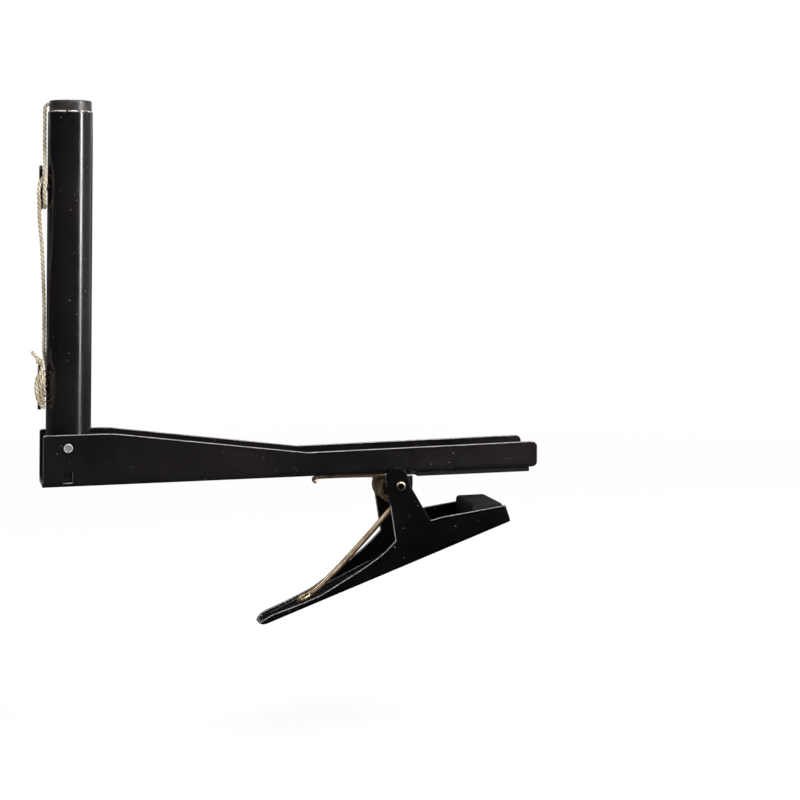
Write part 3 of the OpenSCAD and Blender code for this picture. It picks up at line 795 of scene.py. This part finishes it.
def add_floor(z):
    mesh = rectangle("floor", FLOOR_SIZE, FLOOR_SIZE, z)
    floor = link(bpy.data.objects.new("floor", mesh))
    made = matt_material("floor", (0.9, 0.9, 0.9))
    tree = made.node_tree
    coords = new_node(tree, "ShaderNodeTexCoord")
    away = new_node(tree, "ShaderNodeVectorMath", operation="LENGTH")
    tree.links.new(coords.outputs["Object"], away.inputs[0])
    share = new_node(tree, "ShaderNodeMapRange")
    for socket, value in zip(share.inputs[1:5], (WHITE_FROM, WHITE_TO, WHITE_NEAR, 1.0)):
        socket.default_value = value
    tree.links.new(away.outputs["Value"], share.inputs["Value"])
    amount = new_node(tree, "ShaderNodeMath", operation="MULTIPLY")
    tree.links.new(seen_directly(tree), amount.inputs[0])
    tree.links.new(share.outputs[0], amount.inputs[1])
    glow = new_node(tree, "ShaderNodeEmission")
    mixer = new_node(tree, "ShaderNodeMixShader")
    tree.links.new(amount.outputs[0], mixer.inputs[0])
    tree.links.new(tree.nodes["Principled BSDF"].outputs[0], mixer.inputs[1])
    tree.links.new(glow.outputs[0], mixer.inputs[2])
    tree.links.new(mixer.outputs[0], tree.nodes["Material Output"].inputs[0])
    mesh.materials.append(made)


def add_world():
    world = bpy.data.worlds.new("world")
    bpy.context.scene.world = world
    world.use_nodes = True
    tree = world.node_tree
    ground = tree.nodes["Background"]
    ground.inputs["Color"].default_value = (1, 1, 1, 1)
    ground.inputs["Strength"].default_value = 0.5
    white = new_node(tree, "ShaderNodeBackground")
    white.inputs["Color"].default_value = (1, 1, 1, 1)
    mixer = new_node(tree, "ShaderNodeMixShader")
    tree.links.new(seen_directly(tree), mixer.inputs[0])
    tree.links.new(ground.outputs[0], mixer.inputs[1])
    tree.links.new(white.outputs[0], mixer.inputs[2])
    tree.links.new(mixer.outputs[0], tree.nodes["World Output"].inputs[0])


def add_card(name, at, facing, width, height, color):
    """A card of one even tone round the clamp. Only reflections see it, so it shows in no view."""
    mesh = rectangle(name, width, height)
    made = matt_material(name, (0, 0, 0))
    shade = made.node_tree.nodes["Principled BSDF"].inputs
    shade["Specular IOR Level"].default_value = 0
    shade["Emission Color"].default_value = (*color, 1)
    shade["Emission Strength"].default_value = 1
    mesh.materials.append(made)
    card = link(bpy.data.objects.new(name, mesh))
    aim(card, at, facing, "Z")
    card.visible_camera = False
    card.visible_diffuse = False
    card.visible_shadow = False
    card.visible_transmission = False


def add_lamp(name, at, facing, size, watts, tall=None):
    """A square lamp, or one of another height where tall is given."""
    data = bpy.data.lights.new(name, "AREA")
    data.energy = watts
    data.shape = "RECTANGLE" if tall else "SQUARE"
    data.size = size
    if tall:
        data.size_y = tall
    aim(link(bpy.data.objects.new(name, data)), at, facing, "-Z")


CENTRE = (-0.06, 0, 0.05)       # what the soft lamps face
add_world()
floor_z = cad_box[0].z - FLOOR_GAP
add_floor(floor_z)
low_z = floor_z + 0.01          # of the cards that lie just over the floor
DARK = (0.006, 0.0055, 0.0065)
DIM = (0.1, 0.1, 0.11)
GREY = (0.4, 0.4, 0.42)
add_card("front_card", (-0.1, -1.6, 0.45), (-0.1, 0, 0.45), 3.4, 1.3, DARK)
add_card("left_card", (-1.5, -0.2, 0.45), (0, -0.2, 0.45), 2.8, 1.3, DARK)
add_card("right_card", (1.5, -0.3, 0.45), (0, -0.3, 0.45), 2.6, 1.3, GREY)
add_card("back_card", (-0.1, 1.6, 0.735), (-0.1, 0, 0.735), 3.4, 0.73, DARK)
add_card("roof_front", (-0.1, -1.15, 2.1), (-0.1, -1.15, 0), 4.2, 1.3, DARK)
add_card("roof_middle", (-0.1, 0.05, 2.1), (-0.1, 0.05, 0), 4.2, 0.9, DARK)
add_card("roof_back", (-0.1, 1.25, 2.1), (-0.1, 1.25, 0), 4.2, 1.3, DARK)
add_card("low_card", (-0.1, -0.75, low_z), (-0.1, -0.75, 1), 3, 1.7, DARK)
add_card("low_back_card", (-0.1, 0.85, low_z), (-0.1, 0.85, 1), 3.4, 1.5, DIM)
add_card("foot_back_card", (-0.1, 1.6, 0.055), (-0.1, 0, 0.055), 3.4, 0.33, DIM)
add_lamp("key", (0.35, -0.9, 1.4), CENTRE, 0.7, 22)
add_lamp("fill", (-1.0, -0.7, 1.1), CENTRE, 0.8, 8)
add_lamp("strip", (0.77, -0.66, 0.4), (-0.14, 0, 0.38), 0.17, 12, tall=0.7)
add_lamp("low_strip", (0.77, -0.66, -0.03), (-0.14, 0, -0.03), 0.08, 0.8, tall=0.16)

bpy.context.scene.view_settings.view_transform = "Standard"
